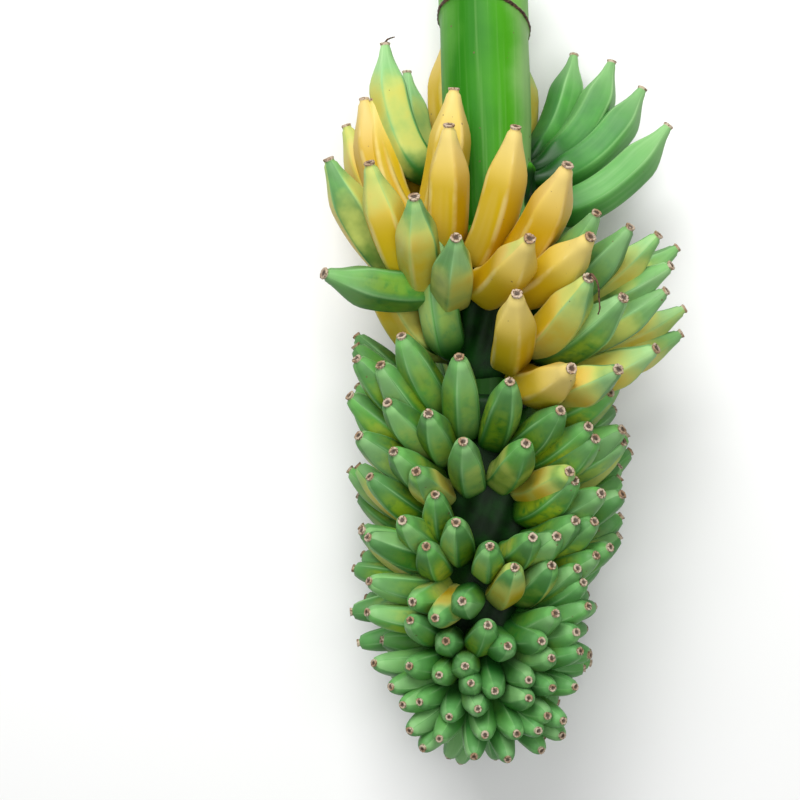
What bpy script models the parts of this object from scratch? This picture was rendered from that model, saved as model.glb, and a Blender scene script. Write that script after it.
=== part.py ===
"""A whole picked bunch of short cooking bananas on its cut green stalk, lying on its back.

The stalk runs along Y with its cut end at +Y. Fruits grow out of it all the way round, in eleven hands. Front fruits
point up at +Z, the side the photo shows. The fruits underneath are pressed flat enough to carry the bunch.
"""
import math

import bmesh
import bpy
import numpy as np

MM = 0.001

# Sizes and places. Rows and columns are read by eye on the photo's 800 pixel square, at the stalk's own distance.
PIXEL = 0.9 * MM
PHOTO_MIDDLE = 400
EYE_HEIGHT = 1.40
FLOOR_BELOW_STALK = 111.5 * MM
MIDDLE = (95.7 * MM, 51.6 * MM)
GAP = 0.35 * MM
SEED = 7

STALK_TOP_ROW = -90
STALK_END_ROW = 704
STALK_MIDDLE = ((0, 483), (150, 488), (330, 492), (520, 489), (800, 483))
STALK_RADIUS = ((-90, 41), (30, 41), (120, 40), (300, 33), (650, 24), (800, 20))
SCAR_WIDTH = 2 * MM
SCAR_ROW = 24
SCAR_LEAN = (19, 9)

# Each crown joins the necks of a hand or more round the stalk. A crown is its first and last row, how far it stands
# out of the stalk, and how far its middle lies to the right and to the front of the stalk's, in millimetres.
CROWNS = {
    "hand_top": ((162, 216, 7, 0, -9),),
    "hands_ripe": ((230, 298, 13, -14, 4), (292, 382, 10, 0, -5)),
    "hands_middle": ((394, 440, 18, 0, -2), (430, 552, 26, 0, 0)),
    "hands_lower": ((550, 640, 26, 0, 0), (634, 702, 20, 0, 0)),
}
SMALLEST_SCRAP = 40e-6

# A fruit starts a little inside the stalk's surface, or beside the stalk in its crown. Its middle line leaves lower
# than the straight way to the tip by its first bend and arrives there steeper by its second, over two handles, each a
# share of its length.
NECK_DEPTH = 4 * MM
LONG_BEND = (math.radians(42), math.radians(22))
SHORT_BEND = (math.radians(26), math.radians(14))
HANDLE = 0.36
FRUIT_SIDES = 5
LEAST_REACH = 0.3
SETTLING_ROUNDS = 12

# Where a fruit's rings are along it: first for the long fruits of the upper hands, then for the short fruits.
LONG_STOPS = (0.02, 0.30, 0.72, 0.87, 1.0)
SHORT_STOPS = (0.22, 0.50, 0.84, 1.0)
UNSEEN_STOPS = (0.18, 0.72, 1.0)
FIRST_SHORT_HAND = 4

# How blunt the fruits of each hand end, from 0 for a bottle neck to 1 for a round finger.
BLUNTNESS = (0.2, 0.5, 0.5, 0.8, 0.8, 0.85, 0.9, 1, 1, 1, 1)

# How far the unseen fruits may reach sideways and down to the floor, by row, and the first row whose fruits hang.
# The photo is empty on the right beside hand 2 and on the left beside hand 3, so their unseen fruits keep to a span.
SIDE_REACH = ((200, 140), (300, 145), (360, 124), (560, 118), (600, 112), (640, 90), (656, 80), (670, 66), (690, 44))
LOWEST_TIP = ((200, 105.5), (240, 102.5), (300, 105), (400, 111), (560, 113), (700, 114))
FIRST_HANGING_ROW = 600
UNSEEN_SPAN = {2: (math.radians(130), math.radians(262)), 3: (math.radians(95), math.radians(205))}
BACK_SPAN = (math.radians(99), math.radians(261))
LEAST_SPREAD = 0.05

# How much unlike each other the fruits are: the bearing and rise of the unseen ones, either way, then the least
# width of any fruit as a share of its row's width, and how far it is turned about its own middle line.
BEARING_DRAW = 0.05
RISE_DRAW = 10 * MM
LEAST_WIDTH = 0.93
TURN_DRAW = math.radians(20)

# Each hand is two to four rows of fruit: root row, fruit length, fruit width, its seen tips, unseen fruits behind.
# A seen tip is its column, its row, the row its fruit grows from, and 1 for the front of the stalk or -1 for behind
# it. A fifth number is the column it grows from, where that is beside the stalk's middle.
HANDS = {
    1: (
        (180, 138, 38, ((643, 88, 178, -1), (612, 61, 168, -1), (574, 54, 165, -1), (447, 36, 190, -1),
                        (407, 71, 200, -1), (385, 43, 190, -1)), 2),
        (206, 142, 40, ((669, 125, 210, 1), (402, 103, 206, -1)), 3),
    ),
    2: (
        (250, 152, 40, ((346, 125, 250, -1), (364, 98, 256, -1, 446), (374, 99, 258, 1, 442),
                        (454, 88, 250, 1, 420)), 4),
        (270, 152, 41, ((328, 158, 282, 1, 435), (369, 162, 286, 1, 432), (449, 124, 264, 1, 443),
                        (516, 126, 264, 1, 460), (568, 164, 266, 1, 480)), 4),
        (284, 142, 41, ((323, 273, 262, 1), (414, 196, 284, 1, 428), (456, 237, 286, 1, 448),
                        (530, 238, 276, 1, 466), (591, 236, 278, 1, 484)), 2),
    ),
    3: (
        (305, 140, 35, ((597, 212, 290, 1), (631, 226, 304, 1), (659, 234, 300, 1), (678, 247, 290, -1)), 4),
        (335, 138, 36, ((672, 265, 290, 1), (667, 290, 336, 1), (685, 308, 336, -1), (682, 333, 355, -1)), 4),
        (350, 138, 40, ((517, 293, 350, 1, 506), (589, 277, 334, 1, 505), (624, 297, 338, 1, 505),
                        (657, 348, 360, 1), (619, 369, 366, 1, 505), (572, 368, 362, 1, 500)), 1),
        (362, 122, 40, ((374, 246, 358, 1, 450), (408, 226, 360, 1, 450), (434, 232, 360, 1, 458)), 0),
    ),
    4: (
        (406, 120, 34, ((356, 335, 410, -1), (401, 335, 412, 1, 466), (611, 392, 414, 1)), 3),
        (430, 120, 36, ((356, 358, 428, 1, 470), (380, 364, 434, 1, 460), (459, 356, 436, 1, 466),
                        (510, 381, 438, 1, 484), (561, 410, 442, 1), (614, 409, 434, -1)), 4),
        (448, 118, 36, ((349, 395, 450, 1, 455), (387, 402, 444, 1, 450), (428, 413, 448, 1, 452),
                        (589, 426, 456, 1, 500), (596, 438, 470, 1, 505), (623, 429, 460, 1)), 4),
    ),
    5: (
        (480, 114, 35, ((358, 435, 474, 1, 452), (393, 451, 478, 1, 448), (463, 441, 478, 1, 474),
                        (526, 443, 472, 1, 488), (624, 441, 468, 1), (631, 451, 492, -1)), 4),
        (498, 112, 35, ((349, 469, 520, -1), (416, 471, 488, 1, 450), (570, 471, 480, 1, 502),
                        (575, 480, 506, 1, 500), (602, 493, 506, 1, 505)), 4),
    ),
    6: (
        (528, 108, 33, ((369, 476, 520, 1, 456), (435, 494, 536, 1, 446), (576, 520, 538, 1, 505),
                        (623, 494, 520, 1, 505)), 5),
        (540, 108, 33, ((361, 530, 546, 1), (367, 537, 546, 1), (402, 520, 538, 1, 446), (456, 522, 545, 1, 460),
                        (533, 537, 545, 1, 497), (557, 536, 545, 1, 502), (595, 521, 543, 1, 505)), 4),
    ),
    7: (
        (564, 104, 31, ((353, 568, 570, -1), (426, 546, 562, 1, 442), (490, 546, 558, 1, 485),
                        (597, 555, 566, 1, 505), (611, 547, 562, 1, 505)), 5),
        (578, 102, 31, ((368, 581, 576, 1), (412, 602, 566, 1, 456), (515, 567, 586, 1, 493),
                        (552, 565, 586, 1, 502), (578, 568, 586, 1, 505)), 5),
    ),
    8: (
        (586, 102, 30, ((350, 612, 572, -1), (462, 601, 580, 1, 474), (584, 582, 592, 1, 508),
                        (587, 594, 594, -1)), 5),
        (602, 102, 29, ((366, 612, 602, 1), (435, 618, 576, 1, 466), (488, 625, 630, 1, 472),
                        (556, 613, 614, 1, 503), (589, 606, 606, 1), (595, 606, 604, -1)), 5),
        (598, 84, 29, ((599, 560, 600, 1), (598, 552, 594, -1)), 0),
    ),
    9: (
        (612, 98, 28, ((357, 643, 600, 1), (410, 620, 622, 1, 442), (446, 641, 622, 1, 454),
                       (508, 646, 620, 1, 486), (542, 641, 612, 1, 500), (577, 632, 616, 1, 506),
                       (586, 628, 614, -1)), 5),
        (630, 98, 27, ((373, 663, 642, 1, 458), (409, 666, 642, 1, 450), (439, 675, 644, 1, 456),
                       (465, 666, 640, 1, 466), (552, 658, 630, 1, 502), (581, 651, 634, 1),
                       (590, 652, 634, -1)), 5),
        (620, 80, 27, ((591, 655, 618, 1), (592, 664, 622, -1)), 0),
    ),
    10: (
        (642, 94, 26, ((390, 687, 648, 1, 462), (471, 683, 658, 1, 472), (495, 691, 644, 1, 486),
                       (529, 680, 640, 1, 500), (553, 688, 644, 1, 501), (576, 687, 648, 1)), 5),
        (656, 94, 26, ((402, 705, 662, 1, 464), (419, 702, 664, 1, 456), (449, 717, 666, 1, 460),
                       (478, 709, 662, 1, 472), (529, 698, 668, 1, 494), (548, 716, 670, 1, 498),
                       (564, 721, 670, 1, 498)), 5),
    ),
    11: (
        (670, 90, 26, ((409, 731, 672, 1, 467), (439, 739, 676, 1, 466), (485, 735, 674, 1, 479),
                       (517, 734, 674, 1, 490), (539, 731, 676, 1, 494), (563, 736, 670, 1, 496)), 4),
        (682, 86, 26, ((422, 749, 672, 1, 472), (474, 757, 678, 1, 477), (508, 760, 678, 1, 488),
                       (542, 751, 674, 1, 493)), 4),
        (676, 84, 26, ((448, 757, 676, -1), (496, 758, 676, -1)), 2),
    ),
}

# The hands that are fused in each node, with the node's colour and roughness.
NODES = {
    "hand_top": ((1,), (0.10, 0.30, 0.05), 0.5),
    "hands_ripe": ((2, 3), (0.62, 0.46, 0.06), 0.5),
    "hands_middle": ((4, 5, 6), (0.10, 0.27, 0.04), 0.5),
    "hands_lower": ((7, 8, 9, 10, 11), (0.08, 0.24, 0.05), 0.5),
}


def between(row, table):
    """Value of a table of (row, value) pairs at a row, straight between them."""
    rows, values = zip(*table)
    return float(np.interp(row, rows, values))


def along(row):
    """Y of a row of the photo."""
    return (PHOTO_MIDDLE - row) * PIXEL


def sideways(column):
    """X of a column of the photo."""
    return (column - PHOTO_MIDDLE) * PIXEL


def stalk_x(row):
    return sideways(between(row, STALK_MIDDLE))


def stalk_radius(row):
    return between(row, STALK_RADIUS) * MM


def smooth(share):
    """Three times the square less twice the cube of a share held between 0 and 1, so it starts and ends level."""
    share = np.clip(share, 0, 1)
    return share * share * (3 - 2 * share)


# Where the fruits go.


def surface_of(root, aside=0.0):
    """How far in front of the stalk's middle its surface lies, so far aside, and 0 beside the stalk."""
    return math.sqrt(max(stalk_radius(root) ** 2 - aside ** 2, 0))


def reach_of(length, rise, surface):
    """How far from its root a fruit's tip is, from the fruit's length and its rise and where the surface is."""
    return surface + math.sqrt(max(length ** 2 - rise ** 2, (LEAST_REACH * length) ** 2))


def seen_fruit(tip, length):
    """Bearing round the stalk, reach and rise of a fruit whose tip shows at a place of the photo.

    The reach follows from the fruit's length and its rise, the bearing from how far aside the tip shows, and both
    are worked out again for the tip's own distance from the eye until they settle.
    """
    column, row, root, side, *crown = tip
    root_x = sideways(crown[0]) if crown else stalk_x(root)
    surface = surface_of(root, root_x - stalk_x(root))
    height = 0.0
    for _ in range(SETTLING_ROUNDS):
        scale = PIXEL * (EYE_HEIGHT - height) / EYE_HEIGHT
        aside = (column - PHOTO_MIDDLE) * scale - root_x
        rise = (PHOTO_MIDDLE - row) * scale - along(root)
        reach = max(reach_of(length, rise, surface), abs(aside))
        bearing = math.asin(aside / reach)
        if side < 0:
            bearing = math.pi - bearing
        height = (height + reach * math.cos(bearing)) / 2
    return {"bearing": bearing, "reach": reach, "rise": rise, "root": root, "root_x": root_x, "surface": surface,
            "seen": True}


def unseen_fruits(hand, seen, root, length, count, draw):
    """Fruits spread evenly over the back of the stalk, bent up or down where they would meet the floor."""
    bearings = [fruit["bearing"] % math.tau for fruit in seen]
    first = max([b for b in bearings if b <= math.pi], default=math.pi / 2)
    last = min([b for b in bearings if b > math.pi], default=1.5 * math.pi)
    if len(seen) < 3:
        first, last = BACK_SPAN
    first, last = UNSEEN_SPAN.get(hand, (first, last))
    surface = surface_of(root)
    usual_rise = float(np.mean([fruit["rise"] for fruit in seen]))
    fruits = []
    for i in range(count):
        bearing = first + (last - first) * (i + 1) / (count + 1) + draw.uniform(-BEARING_DRAW, BEARING_DRAW)
        rise = usual_rise + draw.uniform(-RISE_DRAW, RISE_DRAW)
        reach = reach_of(length, rise, surface)
        room = between(root, LOWEST_TIP) * MM / max(-math.cos(bearing), LEAST_SPREAD)
        room = min(room, between(root, SIDE_REACH) * MM / max(abs(math.sin(bearing)), LEAST_SPREAD))
        if reach > room:
            reach = room
            if root < FIRST_HANGING_ROW:
                rise = math.sqrt(max(length ** 2 - (reach - surface) ** 2, 0))
        fruits.append({"bearing": bearing, "reach": reach, "rise": rise, "root": root, "root_x": stalk_x(root),
                       "surface": surface, "seen": False})
    return fruits


def fruits_of(hand):
    """Every fruit of a hand, with its width, its bends and how far it is turned about its own middle line."""
    draw = np.random.default_rng(SEED + hand)
    fruits = []
    for root, length, width, tips, unseen in HANDS[hand]:
        row = [seen_fruit(tip, length * MM) for tip in tips]
        row += unseen_fruits(hand, row, root, length * MM, unseen, draw)
        for fruit in row:
            fruit["bends"] = LONG_BEND if hand < FIRST_SHORT_HAND else SHORT_BEND
            fruit["width"] = width * MM * draw.uniform(LEAST_WIDTH, 1.0)
            fruit["turn"] = draw.uniform(-TURN_DRAW, TURN_DRAW)
        fruits += row
    return fruits


def fruit_share(t, blunt):
    """Half-width along a fruit as a share of its widest.

    A thin neck swells over the first third. The end is a mix of a bottle's shoulder and neck and a round dome.
    """
    neck = 0.36 + 0.64 * smooth((t - 0.04) / 0.26)
    bottle = 1 - 0.77 * smooth((t - 0.73) / 0.24)
    dome = np.sqrt(1 - 0.94 * np.clip((t - 0.50) / 0.50, 0, 1) ** 2.2)
    return neck * (bottle + (dome - bottle) * blunt)


def centre_line(fruit, t):
    """Points of a fruit's middle line, a cubic curve in the plane of the stalk and the fruit, and its directions."""
    t = t[:, None]
    out = np.array((math.sin(fruit["bearing"]), 0, math.cos(fruit["bearing"])))
    up = np.array((0, 1.0, 0))
    root = np.array((fruit["root_x"], along(fruit["root"]), 0))
    start = root + out * (fruit["surface"] - NECK_DEPTH)
    end = root + out * fruit["reach"] + up * fruit["rise"]
    length = np.linalg.norm(end - start)
    chord = (end - start) / length
    bow = up * (chord @ out) - out * chord[1]
    neck_bend, tip_bend = fruit["bends"]
    leave = start + (chord * math.cos(neck_bend) - bow * math.sin(neck_bend)) * length * HANDLE
    arrive = end - (chord * math.cos(tip_bend) + bow * math.sin(tip_bend)) * length * HANDLE
    points = (1 - t) ** 3 * start + 3 * (1 - t) ** 2 * t * leave + 3 * (1 - t) * t ** 2 * arrive + t ** 3 * end
    ways = (1 - t) ** 2 * (leave - start) + 2 * (1 - t) * t * (arrive - leave) + t ** 2 * (end - arrive)
    return points, ways / np.linalg.norm(ways, axis=1)[:, None]


# Shapes.


def add_object(name, points, faces):
    mesh = bpy.data.meshes.new(name)
    mesh.from_pydata([tuple(p) for p in points], [], faces)
    body = bpy.data.objects.new(name, mesh)
    bpy.context.scene.collection.objects.link(body)
    return body


def add_fruit(name, hand, fruit, extra=0.0):
    """One fruit as a five-sided loft, with rings built by hand so that its ridges run straight along it."""
    stops = LONG_STOPS if hand < FIRST_SHORT_HAND else SHORT_STOPS if fruit["seen"] else UNSEEN_STOPS
    stops = np.array(stops)
    shares = fruit_share(stops, BLUNTNESS[hand - 1])
    points, ways = centre_line(fruit, stops)
    points[0] -= ways[0] * extra
    points[-1] += ways[-1] * extra
    across = np.array((math.cos(fruit["bearing"]), 0, -math.sin(fruit["bearing"])))
    turns = fruit["turn"] + np.arange(FRUIT_SIDES) * math.tau / FRUIT_SIDES
    rings = []
    for point, way, share in zip(points, ways, shares):
        outward = np.cross(across, way)
        radius = share * fruit["width"] / 2 + extra
        rings.append(point + radius * (np.outer(np.cos(turns), outward) + np.outer(np.sin(turns), across)))
    faces = [tuple(reversed(range(FRUIT_SIDES)))]
    for ring in range(len(stops) - 1):
        for side in range(FRUIT_SIDES):
            a = ring * FRUIT_SIDES + side
            b = ring * FRUIT_SIDES + (side + 1) % FRUIT_SIDES
            faces.append((a, b, b + FRUIT_SIDES, a + FRUIT_SIDES))
    last = (len(stops) - 1) * FRUIT_SIDES
    faces.append(tuple(last + side for side in range(FRUIT_SIDES)))
    body = add_object(name, np.concatenate(rings), faces)
    face_outward(body)
    return body


def face_outward(body):
    shape = bmesh.new()
    shape.from_mesh(body.data)
    bmesh.ops.recalc_face_normals(shape, faces=shape.faces)
    shape.to_mesh(body.data)
    shape.free()


def settled_curve(name, curve):
    """Turn a beveled curve into a closed mesh."""
    holder = bpy.data.objects.new(name + "_curve", curve)
    bpy.context.scene.collection.objects.link(holder)
    bpy.context.view_layer.update()
    mesh = bpy.data.meshes.new_from_object(holder.evaluated_get(bpy.context.evaluated_depsgraph_get()))
    bpy.data.objects.remove(holder)
    shape = bmesh.new()
    shape.from_mesh(mesh)
    bmesh.ops.remove_doubles(shape, verts=shape.verts, dist=0.00001)
    bmesh.ops.recalc_face_normals(shape, faces=shape.faces)
    shape.to_mesh(mesh)
    shape.free()
    body = bpy.data.objects.new(name, mesh)
    bpy.context.scene.collection.objects.link(body)
    return body


def add_bar(name, rows, thickness, resolution, aside=0.0, front=0.0):
    """A bar along the stalk, made as a curve with a round bevel whose width is set point by point."""
    curve = bpy.data.curves.new(name, "CURVE")
    curve.dimensions = "3D"
    curve.bevel_depth = 1.0
    curve.bevel_resolution = resolution
    curve.use_fill_caps = True
    line = curve.splines.new("POLY")
    line.points.add(len(rows) - 1)
    for point, row in zip(line.points, rows):
        point.co = (stalk_x(row) + aside, along(row), front, 1)
        point.radius = stalk_radius(row) + thickness
    return settled_curve(name, curve)


def add_stalk(name, extra=0.0):
    rows = np.linspace(STALK_TOP_ROW, STALK_END_ROW, 8)
    return add_bar(name, rows, extra, 8)


def add_crown(name, crown, extra=0.0):
    first, last, thickness, aside, front = crown
    rows = np.array((first - extra / PIXEL, (first + last) / 2, last + extra / PIXEL))
    return add_bar(name, rows, thickness * MM + extra, 2, aside * MM, front * MM)


def add_scar(name):
    """The raised rim that a leaf left round the stalk near its cut end, a closed curve that leans."""
    curve = bpy.data.curves.new(name, "CURVE")
    curve.dimensions = "3D"
    curve.bevel_depth = SCAR_WIDTH
    curve.bevel_resolution = 1
    line = curve.splines.new("POLY")
    turns = np.arange(40) * math.tau / 40
    line.points.add(len(turns) - 1)
    line.use_cyclic_u = True
    for point, turn in zip(line.points, turns):
        row = SCAR_ROW - SCAR_LEAN[0] * math.cos(turn) + SCAR_LEAN[1] * math.sin(turn)
        radius = stalk_radius(row)
        point.co = (stalk_x(row) + radius * math.sin(turn), along(row), radius * math.cos(turn), 1)
    return settled_curve(name, curve)


# Joining and cutting.


def move_to(body, shelf):
    """Take a body out of the collections that hold it and put it in another."""
    for old_shelf in list(body.users_collection):
        old_shelf.objects.unlink(body)
    shelf.objects.link(body)


def settle(body):
    """Replace a body's mesh with the result of its modifiers."""
    bpy.context.view_layer.update()
    seen = body.evaluated_get(bpy.context.evaluated_depsgraph_get())
    mesh = bpy.data.meshes.new_from_object(seen)
    body.modifiers.clear()
    body.data = mesh


def fuse(name, bodies, solver="EXACT"):
    """Join overlapping solids into one with a Boolean union over a collection."""
    first, rest = bodies[0], bodies[1:]
    heap = bpy.data.collections.new(name + "_pieces")
    bpy.context.scene.collection.children.link(heap)
    for body in rest:
        move_to(body, heap)
    join = first.modifiers.new("join", "BOOLEAN")
    join.operation = "UNION"
    join.operand_type = "COLLECTION"
    join.collection = heap
    join.solver = solver
    settle(first)
    for body in rest:
        bpy.data.objects.remove(body)
    bpy.data.collections.remove(heap)
    first.name = name
    return first


def cut(body, tool, solver="EXACT"):
    """Take a tool's shape out of a body."""
    take = body.modifiers.new("take", "BOOLEAN")
    take.operation = "DIFFERENCE"
    take.object = tool
    take.solver = solver
    settle(body)


def keep_whole_shells(body):
    """Fill the hollows that fusing sealed, and drop the loose scraps that cutting left.

    A hollow's faces point into it, so its volume comes out negative. Faces belong together where they share an edge.
    """
    shape = bmesh.new()
    shape.from_mesh(body.data)
    left = set(shape.faces)
    dropped = []
    while left:
        shell = [left.pop()]
        volume = 0.0
        for face in shell:
            for neighbour in {link for edge in face.edges for link in edge.link_faces}:
                if neighbour in left:
                    left.discard(neighbour)
                    shell.append(neighbour)
            first = face.verts[0].co
            for i in range(1, len(face.verts) - 1):
                volume += first.dot(face.verts[i].co.cross(face.verts[i + 1].co)) / 6
        if volume < SMALLEST_SCRAP:
            dropped += shell
    bmesh.ops.delete(shape, geom=dropped, context="FACES")
    shape.to_mesh(body.data)
    shape.free()


def hand_bodies(node, extra=0.0):
    """Crowns and fruits of a node, each swollen by the same extra."""
    bodies = [add_crown(f"{node}_crown_{i}", crown, extra) for i, crown in enumerate(CROWNS[node])]
    for hand in NODES[node][0]:
        for i, fruit in enumerate(fruits_of(hand)):
            bodies.append(add_fruit(f"fruit_{hand}_{i}", hand, fruit, extra))
    return bodies


def add_material(body, colour, roughness):
    material = bpy.data.materials.new(body.name)
    material.use_nodes = True
    shader = material.node_tree.nodes["Principled BSDF"]
    shader.inputs["Base Color"].default_value = (*colour, 1)
    shader.inputs["Roughness"].default_value = roughness
    shader.inputs["Metallic"].default_value = 0.0
    material.diffuse_color = (*colour, 1)
    body.data.materials.clear()
    body.data.materials.append(material)


def finish(body, shelf, colour, roughness, edge_angle):
    """Put a body on the shelf of parts, with the object's origin under the middle of the bunch."""
    for vert in body.data.vertices:
        vert.co.x -= MIDDLE[0]
        vert.co.y -= MIDDLE[1]
        vert.co.z += FLOOR_BELOW_STALK
    for face in body.data.polygons:
        face.use_smooth = True
    body.data.set_sharp_from_angle(angle=math.radians(edge_angle))
    add_material(body, colour, roughness)
    move_to(body, shelf)


for old in list(bpy.data.objects):
    bpy.data.objects.remove(old)

parts = bpy.data.collections.new("banana_bunch")
bpy.context.scene.collection.children.link(parts)

stalk = fuse("stalk", [add_stalk("stalk_bar"), add_scar("scar")])
stalk_room = add_stalk("stalk_room", GAP)

bpy.ops.mesh.primitive_cube_add(size=1, location=(0, 0, -FLOOR_BELOW_STALK - 0.1))
ground = bpy.context.object
ground.scale = (2, 2, 0.2)
bpy.ops.object.transform_apply(location=True, rotation=True, scale=True)

# The exact solver leaves a pinched hollow between the many fruits of the lowest hands, so all the hands use the other.
rooms = []
for node, (hands, colour, roughness) in NODES.items():
    body = fuse(node, hand_bodies(node), "MANIFOLD")
    for tool in (stalk_room, *rooms, ground):
        cut(body, tool, "MANIFOLD")
    keep_whole_shells(body)
    rooms.append(fuse(node + "_room", hand_bodies(node, GAP), "MANIFOLD"))
    finish(body, parts, colour, roughness, 50)

finish(stalk, parts, (0.12, 0.33, 0.06), 0.45, 40)

for tool in (*rooms, stalk_room, ground):
    bpy.data.objects.remove(tool)
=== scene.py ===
"""A whole picked bunch of short cooking bananas, lying on its back on a pale floor."""
import math

import bpy
import numpy as np
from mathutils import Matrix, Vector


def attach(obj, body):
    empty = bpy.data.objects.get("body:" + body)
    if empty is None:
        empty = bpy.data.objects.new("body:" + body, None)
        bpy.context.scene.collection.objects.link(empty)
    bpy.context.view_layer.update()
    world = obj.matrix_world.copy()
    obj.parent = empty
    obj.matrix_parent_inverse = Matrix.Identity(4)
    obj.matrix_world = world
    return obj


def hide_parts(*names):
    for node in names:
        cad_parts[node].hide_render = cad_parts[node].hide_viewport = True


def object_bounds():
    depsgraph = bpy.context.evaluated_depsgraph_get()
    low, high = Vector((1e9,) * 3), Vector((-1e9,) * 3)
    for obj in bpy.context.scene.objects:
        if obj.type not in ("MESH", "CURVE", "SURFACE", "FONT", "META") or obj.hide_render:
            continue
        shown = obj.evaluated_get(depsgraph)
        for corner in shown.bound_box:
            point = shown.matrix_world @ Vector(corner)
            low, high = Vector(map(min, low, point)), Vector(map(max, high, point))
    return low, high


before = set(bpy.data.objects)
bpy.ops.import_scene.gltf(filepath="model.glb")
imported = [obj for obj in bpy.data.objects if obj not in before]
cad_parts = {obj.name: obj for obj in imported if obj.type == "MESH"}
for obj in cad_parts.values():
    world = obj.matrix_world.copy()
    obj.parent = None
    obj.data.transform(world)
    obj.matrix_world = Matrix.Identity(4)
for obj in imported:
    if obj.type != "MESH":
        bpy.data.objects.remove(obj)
cad_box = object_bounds()


# The stalk
# The green stem that every fruit grows out of, cut flat at its far end. It is soft watery tissue with fine
# strings along it, under a smooth waxy skin, and one dry rim leans round it where a leaf broke off.
MM = 0.001
PIXEL = 0.9 * MM
PHOTO_MIDDLE = 400
LIFT = 111.5 * MM
MIDDLE = (95.7 * MM, 51.6 * MM)
STALK_ROWS = (-90, 704)
STALK_MIDDLE = ((0, 483), (150, 488), (330, 492), (520, 489), (800, 483))
STALK_RADIUS = ((-90, 41), (30, 41), (120, 40), (300, 33), (650, 24), (800, 20))
SCAR_WIDTH = 2.6 * MM
SCAR_HEIGHT = 1.9 * MM
SCAR_ROW = 24
SCAR_LEAN = (19, 9)
STALK_SIDES = 160
# The stalk's greens paint light and shade too: a shaded left side, a highlight on the right and rim light on
# the left edge.
STALK_SIDE_SHADE = (0.018, 0.165, 0.002)
STALK_GREEN = (0.055, 0.290, 0.006)
STALK_SHADED = (0.006, 0.040, 0.002)
SHADED_BELOW = (0.020, 0.110)
STALK_YOUNG_AND_RIM_LIGHT = (0.150, 0.420, 0.060)
STALK_HIGHLIGHT_AND_STRINGS = (0.300, 0.500, 0.180)
STALK_CUT = (0.420, 0.450, 0.200)
CUT_PORES = (0.230, 0.250, 0.090)
CUT_STAIN = (0.230, 0.150, 0.060)
SHINE = 0.22
DRY_DARK = (0.030, 0.018, 0.012)
DRY_BROWN = (0.140, 0.075, 0.045)
DRY_TAN = (0.340, 0.205, 0.125)
DRY_PALE = (0.500, 0.390, 0.300)


def between(row, table):
    """Values of a table of (row, value) pairs at rows, straight between them."""
    rows, values = zip(*table)
    return np.interp(row, rows, values)


def along(row):
    """Y of a row of the photo, at the stalk's distance."""
    return (PHOTO_MIDDLE - row) * PIXEL - MIDDLE[1]


def sideways(column):
    """X of a column of the photo, at the stalk's distance."""
    return (column - PHOTO_MIDDLE) * PIXEL - MIDDLE[0]


def stalk_x(row):
    return sideways(between(row, STALK_MIDDLE))


def stalk_radius(row):
    return between(row, STALK_RADIUS) * MM


def smooth(share):
    """Three times the square less twice the cube of a share held between 0 and 1, level at both ends."""
    share = np.clip(share, 0, 1)
    return share * share * (3 - 2 * share)


def skin_mesh(name, tubes):
    """One mesh of closed tubes.

    Each item of tubes is a set of like tubes: its points by tube, ring and place round the ring, and a
    dictionary of values that have one number or one vector for each of those points. Neighbouring rings are
    joined by four-sided faces, and the first and last ring of each tube are closed by one face each.
    """
    points, corners, sizes, kept = [], [], [], {}
    first = 0
    for grid, values in tubes:
        count, rings, sides, _ = grid.shape
        place = first + np.arange(count * rings * sides).reshape(count, rings, sides)
        after = np.roll(place, -1, axis=2)
        quads = np.stack((place[:, :-1], after[:, :-1], after[:, 1:], place[:, 1:]), axis=-1)
        caps = np.concatenate((place[:, 0, ::-1], place[:, -1]))
        points.append(grid.reshape(-1, 3))
        corners += [quads.reshape(-1), caps.reshape(-1)]
        sizes += [np.full(quads.size // 4, 4), np.full(len(caps), sides)]
        for key, value in values.items():
            wide = np.ndim(value) == 4
            value = np.broadcast_to(value, grid.shape if wide else grid.shape[:3])
            kept.setdefault(key, (wide, []))[1].append(value.reshape(-1))
        first += count * rings * sides
    points, corners, sizes = (np.concatenate(part) for part in (points, corners, sizes))
    mesh = bpy.data.meshes.new(name)
    mesh.vertices.add(len(points))
    mesh.loops.add(len(corners))
    mesh.polygons.add(len(sizes))
    mesh.vertices.foreach_set("co", points.astype(np.float32).reshape(-1))
    mesh.loops.foreach_set("vertex_index", corners.astype(np.int32))
    mesh.polygons.foreach_set("loop_start", (np.cumsum(sizes) - sizes).astype(np.int32))
    mesh.update(calc_edges=True)
    for key, (wide, parts) in kept.items():
        kind, field = ("FLOAT_VECTOR", "vector") if wide else ("FLOAT", "value")
        store = mesh.attributes.new(key, kind, "POINT")
        store.data.foreach_set(field, np.concatenate(parts).astype(np.float32))
    mesh.shade_smooth()
    piece = bpy.data.objects.new(name, mesh)
    bpy.context.scene.collection.objects.link(piece)
    return piece


def inside(grid):
    """The points held inside the size of the whole bunch, and just clear of the floor."""
    low, high = np.array(cad_box[0]), np.array(cad_box[1])
    return np.clip(grid, low + (0, 0, 0.2 * MM), high)


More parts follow.
